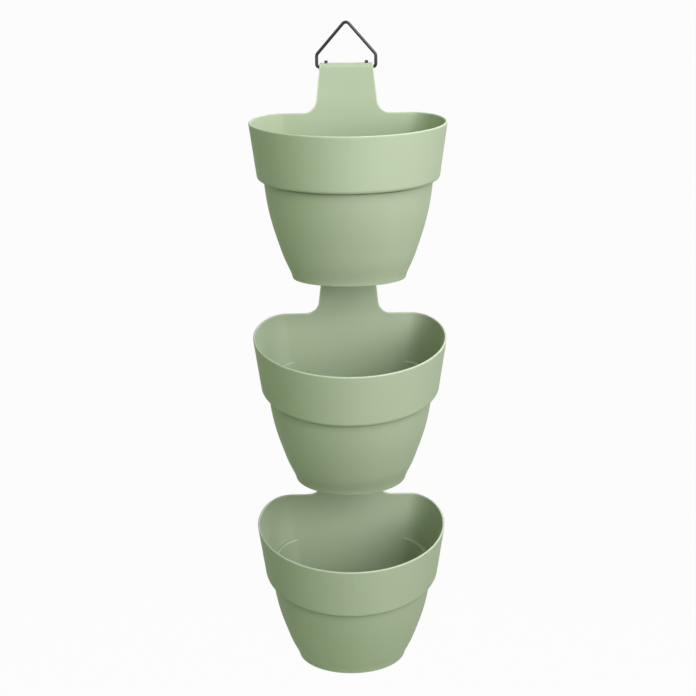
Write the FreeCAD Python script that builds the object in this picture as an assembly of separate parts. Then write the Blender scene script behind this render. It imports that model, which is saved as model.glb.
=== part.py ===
"""Hanging planter: three half-round pots hooked one below another under a bent-wire hanger.

Millimetres, +Z up, -Y towards the viewer, +Y towards what the planter hangs against.
A pot is drawn in its own frame, with the back of its rim at the origin.
The assembly's origin is the inside of the hanger's peak, where the nail carries it.
"""
import FreeCAD
import Part
import os
from math import cos, radians, sin, sqrt, tan

V = FreeCAD.Vector

# Pot: overall sizes
RIM_WIDTH = 240.0
RIM_DEPTH = 215.0
POT_HEIGHT = 191.6
WALL = 2.8
FLOOR = 3.0
RIM_ROUND = 1.2

# Pot: plan of the rim; the levels below keep its widest line and narrow its flat back in proportion
BACK_FLAT = 156.0
WIDEST_LINE = 78.8

# Pot: upper band, with the step below it
BAND_HEIGHT = 68.5
BAND_DRAFT = 7.9
BAND_ROUND = 4.0
BAND_ROUND_STEPS = 3
LEDGE = 7.6

# Pot: bell-shaped body, whose draft eases off within the foot; fuller in front than at the sides
BASE_WIDTH = 138.6
BASE_DEPTH = 137.6
BASE_ROUND = 1.2
BELL_SIDE_STRAIGHT_SHARE = 0.3
BELL_FRONT_STRAIGHT_SHARE = 0.6
BELL_STEPS = 4
FOOT_HEIGHT = 10.0
FOOT_EASE_SHARE = 0.6
FOOT_STEPS = 2

# Pot: drain holes in the floor
DRAIN_DIAMETER = 7.0
DRAIN_SPACING = 44.0

# Neck, which carries the back wall up, and its folded flange with two eyes
NECK_HEIGHT = 60.6
NECK_TOP_WIDTH = 65.6
NECK_FOOT_WIDTH = 79.0
NECK_CORNER = 2.0
NECK_FILLET = 16.0
NECK_SUNK = 2.4
FLANGE_LIP = 11.0
FLANGE_BEND = 2.0
EYE_SPACING = 50.0

# Hook bar below the back of the base, for the next pot's flange, with pegs as thick as the wire
BAR_DIAMETER = 6.0
BAR_DROP = 10.0
PEG_REACH = 3.5
RIB_THICKNESS = 4.0
RIB_HEIGHT = 26.0
RIB_MARGIN = 1.2
RIB_ROUND = 3.0

# Wire hanger
WIRE_DIAMETER = 4.0
WIRE_PEAK = 52.0
WIRE_SHOULDER = 10.5
WIRE_PEAK_BEND = 5.0
WIRE_SHOULDER_BEND = 6.0
WIRE_CORNER_BEND = 4.0
WIRE_END_BEND = 3.0
WIRE_END_REACH = 3.2

# Fits
HANG_CLEARANCE = 0.3
EYE_CLEARANCE = 1.2
CHANNEL_CLEARANCE = 2.5
NECK_FRONT_CLEARANCE = 4.4
NECK_SIDE_CLEARANCE = 1.5
WIRE_SIDE_CLEARANCE = 1.2

# Forward lean of each pot from the one above, within the play of its eyes
MIDDLE_POT_LEAN = 8.0
LOWER_POT_LEAN = 1.0

# How far a cutter runs past what it cuts, and how near counts as the same place
OVERRUN = 2.0
SAME_PLACE = 1e-6

# Derived places in a pot's frame
EYE_DIAMETER = WIRE_DIAMETER + 2 * EYE_CLEARANCE
CHANNEL_WIDTH = BAR_DIAMETER + 2 * CHANNEL_CLEARANCE
HOOK_Y = CHANNEL_WIDTH / 2
FLANGE_REAR = CHANNEL_WIDTH + WALL
FLANGE_UNDER = NECK_HEIGHT - WALL
WIRE_LEG_Z = FLANGE_UNDER - HANG_CLEARANCE - WIRE_DIAMETER / 2
HOOK_Z = FLANGE_UNDER - HANG_CLEARANCE - BAR_DIAMETER / 2
BAR_Z = -POT_HEIGHT - BAR_DROP
FOOT_TOP = FOOT_HEIGHT - POT_HEIGHT
BACK_SETBACK = WALL + NECK_FRONT_CLEARANCE


def quarter(start, corner, end, z):
    """Quarter of an ellipse that leaves start and reaches end along the sides of corner."""
    curve = Part.BezierCurve()
    curve.setPoles([V(*start, z), V(*corner, z), V(*end, z)])
    curve.setWeight(2, sqrt(0.5))
    return curve.toShape()


def back_at(level):
    """Where the raked back wall stands at a level below the rim."""
    return BACK_SETBACK * level / POT_HEIGHT


def plan(half, front, z, inset=0.0):
    """Flat-backed half-round outline; inset shrinks it evenly, for the inside of the wall."""
    flat, middle = half * BACK_FLAT / RIM_WIDTH, -WIDEST_LINE
    side, rear, nose = half - inset, back_at(z) - inset, inset - front
    return Part.Wire([
        Part.makeLine(V(-flat, rear, z), V(flat, rear, z)),
        quarter((flat, rear), (side, rear), (side, middle), z),
        quarter((side, middle), (side, nose), (0, nose), z),
        quarter((0, nose), (-side, nose), (-side, middle), z),
        quarter((-side, middle), (-side, rear), (-flat, rear), z),
    ])


def loft(sections, straight=False):
    return Part.makeLoft(sections, True, straight)


def polygon(points):
    return Part.makePolygon([V(*p) for p in points + points[:1]])


def prism(points, along):
    return Part.Face(polygon(points)).extrude(V(*along))


def cylinder(diameter, length, start, along):
    return Part.makeCylinder(diameter / 2, length, V(*start), V(*along))


def band_plan(drop, inset=0.0, pull=0.0):
    """Outline of the upper band at a depth below the rim; pull rounds its lower edge."""
    taper = drop * tan(radians(BAND_DRAFT)) + pull
    return plan(RIM_WIDTH / 2 - taper, RIM_DEPTH - taper, -drop, inset)


def drawn_in(level, straight_share):
    """Share of the body's whole taper that is drawn in at a level below the step."""
    height = POT_HEIGHT - BAND_HEIGHT
    fallen = (-BAND_HEIGHT - level) / height
    in_foot = max(0.0, FOOT_TOP - level) / FOOT_HEIGHT
    ease = FOOT_EASE_SHARE * (2 - straight_share) * FOOT_HEIGHT / height / 2
    bell = straight_share * fallen + (1 - straight_share) * fallen ** 2
    return (bell - ease * in_foot ** 2) / (1 - ease)


def body_sections(bottom, top=-BAND_HEIGHT, inset=0.0):
    """Outlines of the bell from under the step down to the foot's bottom."""
    levels = [top + (FOOT_TOP - top) * step / BELL_STEPS for step in range(BELL_STEPS)]
    levels += [FOOT_TOP + (bottom - FOOT_TOP) * step / FOOT_STEPS for step in range(FOOT_STEPS + 1)]
    taper = BAND_HEIGHT * tan(radians(BAND_DRAFT)) + LEDGE
    half, front = RIM_WIDTH / 2 - taper, RIM_DEPTH - taper
    return [plan(half + (BASE_WIDTH / 2 - half) * drawn_in(level, BELL_SIDE_STRAIGHT_SHARE),
                 front + (BASE_DEPTH - front) * drawn_in(level, BELL_FRONT_STRAIGHT_SHARE), level, inset)
            for level in levels]


def make_vessel():
    """Open shell: band, step, bell and foot, with the same step inside."""
    turns = [radians(90 * step / BAND_ROUND_STEPS) for step in range(BAND_ROUND_STEPS + 1)]
    lip = [band_plan(BAND_HEIGHT - BAND_ROUND * (1 - sin(turn)), pull=BAND_ROUND * (1 - cos(turn)))
           for turn in turns]
    outer = loft([band_plan(0.0), lip[0]], straight=True).fuse(loft(lip))
    outer = outer.fuse(loft(body_sections(-POT_HEIGHT)))

    ledge = BAND_HEIGHT - WALL
    inner = loft([band_plan(0.0, WALL), band_plan(ledge, WALL)], straight=True)
    inner = inner.fuse(loft(body_sections(FLOOR - POT_HEIGHT, -ledge, WALL)))

    shell = outer.cut(inner).removeSplitter()
    shell = shell.makeFillet(RIM_ROUND, [e for e in shell.Edges if e.BoundBox.ZMin > -SAME_PLACE])
    low = SAME_PLACE - POT_HEIGHT
    return shell.makeFillet(BASE_ROUND, [e for e in shell.Edges if e.BoundBox.ZMax < low])


def make_drains():
    """Holes across the floor, in a triangle about the middle of the base."""
    middle = -(BASE_DEPTH + BACK_SETBACK) / 2
    spots = [(-DRAIN_SPACING / 2, middle), (DRAIN_SPACING / 2, middle),
             (0.0, middle - DRAIN_SPACING / 2)]
    length = FLOOR + 2 * OVERRUN
    return [cylinder(DRAIN_DIAMETER, length, (x, y, -POT_HEIGHT - OVERRUN), (0, 0, 1)) for x, y in spots]


def neck_half(level):
    """Half the neck's width at a level above the rim."""
    return (NECK_FOOT_WIDTH + (NECK_TOP_WIDTH - NECK_FOOT_WIDTH) * level / NECK_HEIGHT) / 2


def make_neck():
    """Upright neck with its top folded back into a lipped flange."""
    foot, top, reach = NECK_FOOT_WIDTH / 2, NECK_TOP_WIDTH / 2, NECK_FOOT_WIDTH / 2 + NECK_FILLET
    right = [(top, -WALL, NECK_HEIGHT), (foot, -WALL, 0), (reach, -WALL, 0), (reach, -WALL, -NECK_SUNK)]
    left = [(-x, y, z) for x, y, z in reversed(right)]
    face = prism(right + left, (0, FLANGE_REAR + WALL, 0))
    face = face.makeFillet(NECK_FILLET, [e for e in face.Edges if is_across(e, foot, 0)])
    face = face.makeFillet(NECK_CORNER, [e for e in face.Edges if is_across(e, top, NECK_HEIGHT)])

    lip = NECK_HEIGHT - FLANGE_LIP
    side = [(-WALL, -NECK_SUNK), (0, -NECK_SUNK), (0, FLANGE_UNDER), (CHANNEL_WIDTH, FLANGE_UNDER),
            (CHANNEL_WIDTH, lip), (FLANGE_REAR, lip), (FLANGE_REAR, NECK_HEIGHT), (-WALL, NECK_HEIGHT)]
    fold = prism([(-reach, y, z) for y, z in side], (2 * reach, 0, 0))
    for radius, level, depths in ((FLANGE_BEND, FLANGE_UNDER, (0, CHANNEL_WIDTH)),
                                  (FLANGE_BEND + WALL, NECK_HEIGHT, (-WALL, FLANGE_REAR))):
        fold = fold.makeFillet(radius, [e for e in fold.Edges for y in depths if is_along(e, y, level)])

    neck = face.common(fold)
    for x in (-EYE_SPACING / 2, EYE_SPACING / 2):
        start = (x, HOOK_Y, FLANGE_UNDER - OVERRUN)
        neck = neck.cut(cylinder(EYE_DIAMETER, WALL + 2 * OVERRUN, start, (0, 0, 1)))
    return neck


def is_across(edge, x, z):
    """True for an edge along Y at this distance from the middle and at this height."""
    box = edge.BoundBox
    return (box.XLength + box.ZLength < SAME_PLACE and abs(abs(box.XMin) - x) < SAME_PLACE
            and abs(box.ZMin - z) < SAME_PLACE)


def is_along(edge, y, z):
    """True for an edge along X at this depth and at this height."""
    box = edge.BoundBox
    return (box.YLength + box.ZLength < SAME_PLACE and abs(box.YMin - y) < SAME_PLACE
            and abs(box.ZMin - z) < SAME_PLACE)


def make_hook_bar():
    """Round bar between two ribs that reach below the base, with a peg for each eye of the next flange."""
    radius, swell = BAR_DIAMETER / 2, BAR_DIAMETER / 2 + RIB_MARGIN
    inner = neck_half(HOOK_Z - swell) + NECK_SIDE_CLEARANCE
    outer = inner + RIB_THICKNESS
    base, top, low = -POT_HEIGHT, RIB_HEIGHT - POT_HEIGHT, BAR_Z - swell
    profile = [(back_at(base) - WALL / 2, base), (HOOK_Y - swell, low), (HOOK_Y + swell, low),
               (HOOK_Y + swell, BAR_Z + swell), (back_at(top), top), (back_at(top) - WALL / 2, top)]
    bar = cylinder(BAR_DIAMETER, inner + outer, (-(inner + outer) / 2, HOOK_Y, BAR_Z), (1, 0, 0))
    for side in (-1, 1):
        start = inner if side > 0 else -outer
        rib = prism([(start, y, z) for y, z in profile], (RIB_THICKNESS, 0, 0))
        ends = [e for e in rib.Edges for y in (HOOK_Y - swell, HOOK_Y + swell) if is_along(e, y, low)]
        reach = radius + HANG_CLEARANCE + WALL + PEG_REACH
        peg = cylinder(WIRE_DIAMETER, reach, (side * EYE_SPACING / 2, HOOK_Y, BAR_Z), (0, 0, 1))
        bar = bar.fuse(rib.makeFillet(RIB_ROUND, ends)).fuse(peg)
    return bar


def make_pot():
    pot = make_vessel().fuse(make_neck()).fuse(make_hook_bar())
    for drain in make_drains():
        pot = pot.cut(drain)
    return pot.removeSplitter()


def rounded(points, bends):
    """Path through the points, with an arc of the given radius at each inner point."""
    edges, last = [], V(*points[0])
    for before, corner, after, radius in zip(points, points[1:], points[2:], bends):
        corner = V(*corner)
        back, on = (V(*before) - corner).normalize(), (V(*after) - corner).normalize()
        half = back.getAngle(on) / 2
        start, end = corner + back * (radius / tan(half)), corner + on * (radius / tan(half))
        centre = corner + (back + on).normalize() * (radius / sin(half))
        middle = centre + (corner - centre).normalize() * radius
        edges += [Part.makeLine(last, start), Part.Arc(start, middle, end).toShape()]
        last = end
    return Part.Wire(edges + [Part.makeLine(last, V(*points[-1]))])


def make_hanger():
    """One bent wire: a peaked bail whose ends run under the flange and turn up through its eyes."""
    side = neck_half(WIRE_LEG_Z) + WIRE_SIDE_CLEARANCE + WIRE_DIAMETER / 2
    end = EYE_SPACING / 2
    tip = NECK_HEIGHT + WIRE_END_REACH
    shoulder = NECK_HEIGHT + WIRE_SHOULDER
    bend, rise = WIRE_PEAK_BEND, WIRE_PEAK - WIRE_DIAMETER / 2 - WIRE_PEAK_BEND - WIRE_SHOULDER
    tangent = bend * sqrt(side ** 2 + rise ** 2 - bend ** 2)
    peak = shoulder + side * (rise * side + tangent) / (side ** 2 - bend ** 2)
    half = [(end, HOOK_Y, tip), (end, HOOK_Y, WIRE_LEG_Z), (side, HOOK_Y, WIRE_LEG_Z),
            (side, HOOK_Y, shoulder)]
    bends = [WIRE_END_BEND, WIRE_CORNER_BEND, WIRE_SHOULDER_BEND]
    path = rounded(half + [(0, HOOK_Y, peak)] + [(-x, y, z) for x, y, z in reversed(half)],
                   bends + [WIRE_PEAK_BEND] + bends[::-1])
    ring = Part.Wire(Part.makeCircle(WIRE_DIAMETER / 2, V(*half[0]), V(0, 0, 1)))
    return path.makePipeShell([ring], True, False)


def hung_below(pot, lean):
    """The next pot: its flange over the bar of the pot above, leaning forward about that bar."""
    lower = pot.copy()
    lower.translate(V(0, 0, BAR_Z - HOOK_Z))
    lower.rotate(V(0, HOOK_Y, BAR_Z), V(1, 0, 0), lean)
    return lower


pot = make_pot()
nodes = {
    "hanger_wire": make_hanger(),
    "upper_pot": pot,
    "middle_pot": hung_below(pot, MIDDLE_POT_LEAN),
    "lower_pot": hung_below(hung_below(pot, LOWER_POT_LEAN), MIDDLE_POT_LEAN),
}

origin = V(0, HOOK_Y, NECK_HEIGHT + WIRE_PEAK - WIRE_DIAMETER)
os.makedirs("parts", exist_ok=True)
for name, shape in nodes.items():
    shape = shape.copy()
    shape.translate(origin * -1)
    shape.exportStep("parts/" + name + ".step")
    box = shape.BoundBox
    print(name, shape.isValid(), len(shape.Solids), len(shape.Faces), round(shape.Volume),
          [round(v, 1) for v in (box.XMin, box.XMax, box.YMin, box.YMax, box.ZMin, box.ZMax)])
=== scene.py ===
# %% [markdown]
# # A hanging planter of three sage-green pots
# The planter is three alike half-round pots, hooked one below another under a bent-wire hanger.
# Every piece is rigid and made from drawings, so the shapes come from the CAD model as they are.
# This script gives them their finishes, the light and the photograph's point of view.

# %% Load the CAD model
import math

import bpy
from mathutils import Matrix, Vector


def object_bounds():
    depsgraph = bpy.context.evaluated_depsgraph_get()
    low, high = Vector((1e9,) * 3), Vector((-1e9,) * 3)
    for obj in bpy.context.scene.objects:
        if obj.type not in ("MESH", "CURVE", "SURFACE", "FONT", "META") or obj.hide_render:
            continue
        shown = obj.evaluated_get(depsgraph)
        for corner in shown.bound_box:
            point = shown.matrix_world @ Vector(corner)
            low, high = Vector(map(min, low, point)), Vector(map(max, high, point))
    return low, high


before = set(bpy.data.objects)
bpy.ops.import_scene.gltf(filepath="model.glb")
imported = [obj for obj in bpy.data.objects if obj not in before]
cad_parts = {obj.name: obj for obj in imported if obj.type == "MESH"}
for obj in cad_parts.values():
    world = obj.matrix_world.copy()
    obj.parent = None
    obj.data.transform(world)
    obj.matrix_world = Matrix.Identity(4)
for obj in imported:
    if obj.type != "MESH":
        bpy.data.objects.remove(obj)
cad_low, cad_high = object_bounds()
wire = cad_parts["hanger_wire"]
pots = [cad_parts[name] for name in ("upper_pot", "middle_pot", "lower_pot")]
for piece in [wire] + pots:
    print(piece.name, "triangles:", len(piece.data.polygons))
print("planter box in metres:", [round(side, 3) for side in cad_high - cad_low])

# %% [markdown]
# ## Colours
# A colour given here is an sRGB hex value, while shaders count in linear light.
# One function turns the first into the second, so each colour below reads as it looks on screen.

# %% Turn sRGB hex into linear light
def linear(hex_colour):
    """Linear RGBA of a colour written as in a drawing program."""
    shares = [int(hex_colour[at:at + 2], 16) / 255 for at in (1, 3, 5)]
    light = [s / 12.92 if s <= 0.04045 else ((s + 0.055) / 1.055) ** 2.4 for s in shares]
    return (*light, 1.0)


WHITE = linear("#ffffff")
print("mid grey in linear light:", [round(part, 3) for part in linear("#808080")])

# %% [markdown]
# ## Building materials from nodes
# A material is a small graph: textures feed a shader, and the shader feeds the output.
# One function adds any node, sets its options and fills its inputs.
# An input is either a plain value or another node's output, which is then linked.
# Sizes of patterns, edges and creases are written in millimetres below.

# %% Add a node with its settings and links
def add(tree, kind, inputs=None, **settings):
    """New node of a kind; inputs go by name or number, and a socket given as a value is linked."""
    node = tree.nodes.new(kind)
    for name, value in settings.items():
        setattr(node, name, value)
    for name, value in (inputs or {}).items():
        if isinstance(value, bpy.types.NodeSocket):
            tree.links.new(value, node.inputs[name])
        else:
            node.inputs[name].default_value = value
    return node


def new_material(name):
    """Empty material with only its output node, which is returned with the tree."""
    material = bpy.data.materials.new(name)
    material.use_nodes = True
    tree = material.node_tree
    tree.nodes.clear()
    return material, tree, add(tree, "ShaderNodeOutputMaterial")


MM = 0.001


def per_metre(size_mm):
    """Texture scale whose pattern repeats about once in this many millimetres."""
    return 1 / (size_mm * MM)


print("a 5 mm pattern has scale", per_metre(5))

# %% [markdown]
# ## Painted rim highlights
# The thin rims catch a bright line of light. It is painted into their colour as a near-white painted
# highlight, and the rims are also made smoother than the open wall.
# Edges are often found where a rounded normal leaves the flat one, but these rims are already round
# in the CAD model, and both normals agree there.
# Thickness finds them instead. An Ambient Occlusion node turned inside sends short rays into the
# plastic, and only near a thin edge do they soon meet the other side.

# %% Find the thin rims
THIN_RIM_DEPTH = 2.0
OPEN_WALL, THIN_EDGE = 0.9, 0.55


def thin_rim_mask(tree):
    """Socket that is 1 on thin edges, where a highlight is painted, and 0 on the open wall."""
    thickness = add(tree, "ShaderNodeAmbientOcclusion", {"Distance": THIN_RIM_DEPTH * MM}, inside=True,
                    only_local=True, samples=6)
    highlighted = add(tree, "ShaderNodeMapRange", {"Value": thickness.outputs["AO"], "From Min": OPEN_WALL,
                                              "From Max": THIN_EDGE})
    return highlighted.outputs["Result"]


print("rims are rubbed where the plastic ends within", THIN_RIM_DEPTH, "mm")

# %% [markdown]
# ## The crease under the band
# Each pot steps in below its band, and a thin dark line runs along the step in front.
# It is shade. The lamps give some of it, and a darker colour adds the rest as painted shade.
# It could be painted at a set height, but two rules find it on every pot without measuring:
# short rays out of the surface soon meet another wall there, and the wall faces a little downwards.

# %% Find the creases for painted shade
CREASE_REACH = 16
OPEN_FACE, DEEP_CORNER = 0.91, 0.72
UPRIGHT, OVERHUNG = -0.12, -0.26


def crease_shade_mask(tree, normal):
    """Socket that is 1 in a corner below an overhang, where shade is painted, and 0 on open or upright
    walls.
    """
    openness = add(tree, "ShaderNodeAmbientOcclusion", {"Distance": CREASE_REACH * MM}, only_local=True,
                   samples=8)
    corner = add(tree, "ShaderNodeMapRange", {"Value": openness.outputs["AO"], "From Min": OPEN_FACE,
                                              "From Max": DEEP_CORNER})
    lean = add(tree, "ShaderNodeSeparateXYZ", {"Vector": normal})
    downward = add(tree, "ShaderNodeMapRange", {"Value": lean.outputs["Z"], "From Min": UPRIGHT,
                                                "From Max": OVERHUNG})
    crease = add(tree, "ShaderNodeMath", {0: corner.outputs["Result"], 1: downward.outputs["Result"]},
                 operation="MULTIPLY")
    return crease.outputs["Value"]


print("creases are found within", CREASE_REACH, "mm of the next wall")

# %% [markdown]
# ## Sage-green moulded polypropylene
# Each pot is one injection moulding in polypropylene, coloured through, out of a spark-eroded mould.
# To the eye that is an even, slightly milky green with a soft broad sheen and no sharp reflections.
# The mould's grain is a few tenths of a millimetre, too fine for this picture, so it is drawn at 2.4 mm.
# The colour drifts a little over a hand's width where the melt cooled unevenly.
# Painted shade in the creases and a painted highlight on the rims, from the cells above, are mixed over it.
# The Bevel node rounds sharp edges in the light only, which leaves the CAD mesh as it is.

# %% Mix the pot plastic
COLOUR_DRIFT = 110
MOULD_GRAIN, GRAIN_DEPTH = 2.4, 0.2
EDGE_RADIUS = 1.0
SAGE, PALE_SAGE = linear("#b6c2a8"), linear("#bcc8af")
# Painted light: a dark green painted shade for the creases, and a near-white painted highlight for the rims.
PAINTED_CREASE_SHADE, PAINTED_RIM_HIGHLIGHT = linear("#3c4930"), linear("#f1f7e8")
GRAIN_LOW, GRAIN_HIGH, RIM_SMOOTH = 0.56, 0.66, 0.28


def moulded_polypropylene():
    material, tree, output = new_material("sage green moulded polypropylene")
    coordinates = add(tree, "ShaderNodeTexCoord")
    place = coordinates.outputs["Object"]

    drift = add(tree, "ShaderNodeTexNoise", {"Vector": place, "Scale": per_metre(COLOUR_DRIFT),
                                             "Detail": 2.0})
    green = add(tree, "ShaderNodeMix", {"Factor": drift.outputs["Fac"], "A": SAGE, "B": PALE_SAGE},
                data_type="RGBA")
    crease = crease_shade_mask(tree, coordinates.outputs["Normal"])
    # Painted shade: the creases under the band are darkened towards dark green.
    crease_shaded = add(tree, "ShaderNodeMix", {"Factor": crease, "A": green.outputs["Result"],
                                        "B": PAINTED_CREASE_SHADE}, data_type="RGBA")
    highlighted = thin_rim_mask(tree)
    # Painted highlight: the thin rims are lightened almost to white.
    colour = add(tree, "ShaderNodeMix", {"Factor": highlighted, "A": crease_shaded.outputs["Result"],
                                         "B": PAINTED_RIM_HIGHLIGHT}, data_type="RGBA")

    grain = add(tree, "ShaderNodeTexNoise", {"Vector": place, "Scale": per_metre(MOULD_GRAIN),
                                             "Detail": 3.0})
    matt = add(tree, "ShaderNodeMapRange", {"Value": grain.outputs["Fac"], "From Min": 0.3,
                                            "From Max": 0.7, "To Min": GRAIN_LOW, "To Max": GRAIN_HIGH})
    roughness = add(tree, "ShaderNodeMix", {"Factor": highlighted, "A": matt.outputs["Result"],
                                            "B": RIM_SMOOTH})
    soft_edge = add(tree, "ShaderNodeBevel", {"Radius": EDGE_RADIUS * MM}, samples=6)
    bump = add(tree, "ShaderNodeBump", {"Height": grain.outputs["Fac"], "Strength": 0.12,
                                        "Distance": GRAIN_DEPTH * MM, "Normal": soft_edge.outputs["Normal"]})
    plastic = add(tree, "ShaderNodeBsdfPrincipled", {
        "Base Color": colour.outputs["Result"], "Roughness": roughness.outputs["Result"],
        "IOR": 1.49, "Specular IOR Level": 0.12, "Normal": bump.outputs["Normal"]})
    tree.links.new(plastic.outputs["BSDF"], output.inputs["Surface"])
    return material


pot_plastic = moulded_polypropylene()
print(pot_plastic.name, "has", len(pot_plastic.node_tree.nodes), "nodes")

# %% [markdown]
# ## Dressing the pots
# The three pots come out of one mould and one batch of plastic, so they share one material.
# Each could have its own copy, but then a change of colour would have to be made three times.
# The patterns read each pot's own place in the planter, so no two pots show the same drift.

# %% Give the pots their plastic
def finish_with(piece, material):
    """Gives a CAD piece one material all over."""
    piece.data.materials.clear()
    piece.data.materials.append(material)
    print(piece.name, "is now", material.name)


for pot in pots:
    finish_with(pot, pot_plastic)

# %% [markdown]
# ## Black dip-coated steel wire
# The hanger is 4 mm steel wire, bent to shape and then dip-coated black against rust.
# The coat is a thin, glossy dark film, so a narrow grey streak runs along the wire where it mirrors a lamp.
# It could be a dark metal, but bare metal would mirror the white surroundings all round and look grey.
# The film flows a little on the round wire: its tone clouds over 9 mm, its gloss over 3 mm.

# %% Coat the wire
COAT_CLOUDS = 9
COAT_FLOW, FLOW_DEPTH = 3, 0.05
COAT_BLACK, COAT_GREY = linear("#121314"), linear("#1e1f20")
COAT_SMOOTH, COAT_ROUGH = 0.1, 0.18


def black_coated_steel():
    material, tree, output = new_material("black dip-coated steel wire")
    place = add(tree, "ShaderNodeTexCoord").outputs["Object"]
    clouds = add(tree, "ShaderNodeTexNoise", {"Vector": place, "Scale": per_metre(COAT_CLOUDS),
                                              "Detail": 2.0})
    colour = add(tree, "ShaderNodeMix", {"Factor": clouds.outputs["Fac"], "A": COAT_BLACK,
                                         "B": COAT_GREY}, data_type="RGBA")
    flow = add(tree, "ShaderNodeTexNoise", {"Vector": place, "Scale": per_metre(COAT_FLOW),
                                            "Detail": 2.0})
    roughness = add(tree, "ShaderNodeMapRange", {"Value": flow.outputs["Fac"], "To Min": COAT_SMOOTH,
                                                 "To Max": COAT_ROUGH})
    bump = add(tree, "ShaderNodeBump", {"Height": flow.outputs["Fac"], "Strength": 0.1,
                                        "Distance": FLOW_DEPTH * MM})
    coat = add(tree, "ShaderNodeBsdfPrincipled", {
        "Base Color": colour.outputs["Result"], "Roughness": roughness.outputs["Result"],
        "IOR": 1.52, "Specular IOR Level": 0.4, "Normal": bump.outputs["Normal"]})
    tree.links.new(coat.outputs["BSDF"], output.inputs["Surface"])
    return material


finish_with(wire, black_coated_steel())

# %% [markdown]
# ## A pale floor
# A planter like this hangs at about eye level, so the floor lies well below its lowest pot.
# The floor is a plain pale green sheet, so it carries the soft shadow and throws light back up under the
# pots. A white one would do, but shade in the photograph is a deeper green than the lit sides.
# More lamps would whiten it for the eye, but they would also bleach the pots.
# Instead it is lifted to white only where it is seen, straight or in a reflection, as in a cut-out
# photograph. The lift uses the Light Path node, so it adds no light to the planter.

# %% Lay the floor
FLOOR_DROP = 1.0
FLOOR_SPAN = 120.0
FLOOR_LIFT = 0.97
FLOOR_GREEN = linear("#e4f2d0")


def seen_rays(tree):
    """Socket that is 1 for rays that show the background: straight to the eye, or by a mirror or glass."""
    path = add(tree, "ShaderNodeLightPath")
    seen = path.outputs["Is Camera Ray"]
    for ray in ("Is Glossy Ray", "Is Transmission Ray"):
        seen = add(tree, "ShaderNodeMath", {0: seen, 1: path.outputs[ray]}, operation="MAXIMUM").outputs[0]
    return seen


def floor_sheet():
    material, tree, output = new_material("pale floor sheet")
    sheet = add(tree, "ShaderNodeBsdfDiffuse", {"Color": FLOOR_GREEN})
    glow = add(tree, "ShaderNodeEmission", {"Color": WHITE, "Strength": 1.0})
    lift = add(tree, "ShaderNodeMath", {0: seen_rays(tree), 1: FLOOR_LIFT}, operation="MULTIPLY")
    mixed = add(tree, "ShaderNodeMixShader", {0: lift.outputs[0], 1: sheet.outputs[0], 2: glow.outputs[0]})
    tree.links.new(mixed.outputs[0], output.inputs["Surface"])
    return material


bpy.ops.mesh.primitive_plane_add(size=FLOOR_SPAN, location=(0, 0, cad_low.z - FLOOR_DROP))
floor = bpy.context.object
floor.name = "floor"
floor.data.materials.append(floor_sheet())
print("floor at", round(floor.location.z, 3), "m")

# %% [markdown]
# ## Weak light from all round
# The surroundings could light the planter alone, but then it would have no bright and no dark side.
# They are kept weak and only fill the shade, while the eye still sees them white.
# They carry a pale green as the floor does, and for the same reason.

# %% Set the surroundings
SURROUNDINGS = 0.08
FILL_GREEN = linear("#d6f8bb")

world = bpy.data.worlds.new("white studio")
world.use_nodes = True
sky = world.node_tree
sky.nodes.clear()
seen = seen_rays(sky)
strength = add(sky, "ShaderNodeMapRange", {"Value": seen, "To Min": SURROUNDINGS, "To Max": 1.0})
tint = add(sky, "ShaderNodeMix", {"Factor": seen, "A": FILL_GREEN, "B": WHITE}, data_type="RGBA")
glow = add(sky, "ShaderNodeBackground", {"Color": tint.outputs["Result"],
                                         "Strength": strength.outputs["Result"]})
add(sky, "ShaderNodeOutputWorld", {"Surface": glow.outputs["Background"]})
bpy.context.scene.world = world
print("surroundings light the planter with strength", SURROUNDINGS)

# %% [markdown]
# ## Six softboxes
# In the photograph the right of each pot is bright, the left falls off gently, and shadows have no edges.
# The insides are light at the back and dark only on the right, so part of the light comes from high up.
# A sun lamp would draw hard edges, so each lamp is a wide square, aimed at the planter's middle.
# The key stands at the front right, a larger one further out fills from the front, and a small one
# high on the right looks into the pots. Two weak ones on the left open up the shade, faintly green
# because shade in the photograph is a deeper green. One above and behind shows the backs.

# %% Hang the softboxes
SHADE_TINT = linear("#ecffd9")
middle = (cad_low + cad_high) / 2


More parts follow.
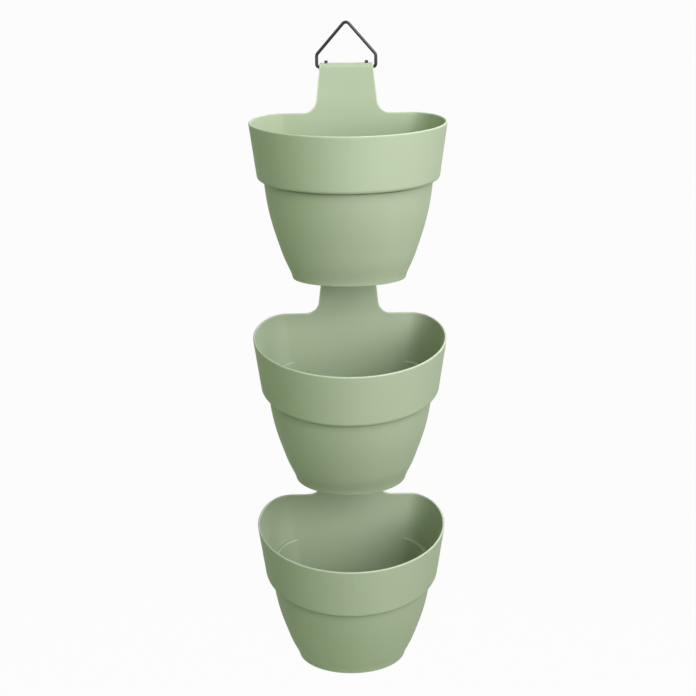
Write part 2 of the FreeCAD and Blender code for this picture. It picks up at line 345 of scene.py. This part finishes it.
def softbox(name, right, front, up, side, watts, tint=WHITE):
    """Square area lamp at this offset in metres from the planter's middle, turned to face it."""
    lamp = bpy.data.lights.new(name, "AREA")
    lamp.size, lamp.energy, lamp.color = side, watts, tint[:3]
    holder = bpy.data.objects.new(name, lamp)
    offset = Vector((right, -front, up))
    holder.location = middle + offset
    holder.rotation_euler = (-offset).to_track_quat("-Z", "Y").to_euler()
    bpy.context.collection.objects.link(holder)
    print(name, "stands", round(offset.length, 2), "m away with", watts, "W")


softbox("key softbox", right=1.22, front=1.22, up=0.80, side=1.05, watts=11.2)
softbox("front softbox", right=1.04, front=2.70, up=0.78, side=1.65, watts=46.2)
softbox("upper right softbox", right=0.61, front=0.35, up=1.21, side=0.77, watts=5.7)
softbox("upper left softbox", right=-0.66, front=0.79, up=1.23, side=0.9, watts=4.1, tint=SHADE_TINT)
softbox("lower left softbox", right=-1.59, front=0.0, up=0.05, side=0.9, watts=3.1, tint=SHADE_TINT)
softbox("back softbox", right=0.57, front=-0.98, up=1.13, side=0.9, watts=12)

# %% [markdown]
# ## The photograph's point of view
# The camera stands a little above the wire's peak and looks down on the pots with a long lens.
# Distance, height, tilt and lens were fitted together to the rims, steps and bases in the photograph.
# The planter hangs a touch out of plumb there, and the camera stands a little to its left,
# so a small roll and a small turn of the camera follow them.
# Places are in metres, angles in degrees and the lens in millimetres.

# %% Place the camera
CAMERA_DISTANCE = 2.5385
CAMERA_LEFT = 0.0377
CAMERA_RISE = 0.2190
CAMERA_TURN = -0.82
CAMERA_TILT = 13.94
CAMERA_ROLL = -0.58
FOCAL_LENGTH = 105.79

camera = bpy.data.objects.new("camera", bpy.data.cameras.new("camera"))
camera.data.lens = FOCAL_LENGTH
camera.location = (-CAMERA_LEFT, -CAMERA_DISTANCE, CAMERA_RISE)
turn = Matrix.Rotation(math.radians(CAMERA_TURN), 3, "Z")
tilt = Matrix.Rotation(math.radians(90 - CAMERA_TILT), 3, "X")
roll = Matrix.Rotation(math.radians(CAMERA_ROLL), 3, "Z")
camera.rotation_euler = (turn @ tilt @ roll).to_euler()
bpy.context.collection.objects.link(camera)
bpy.context.scene.camera = camera
bpy.context.scene.view_settings.view_transform = "Standard"
print("camera at", [round(part, 3) for part in camera.location], "with a", FOCAL_LENGTH, "mm lens")
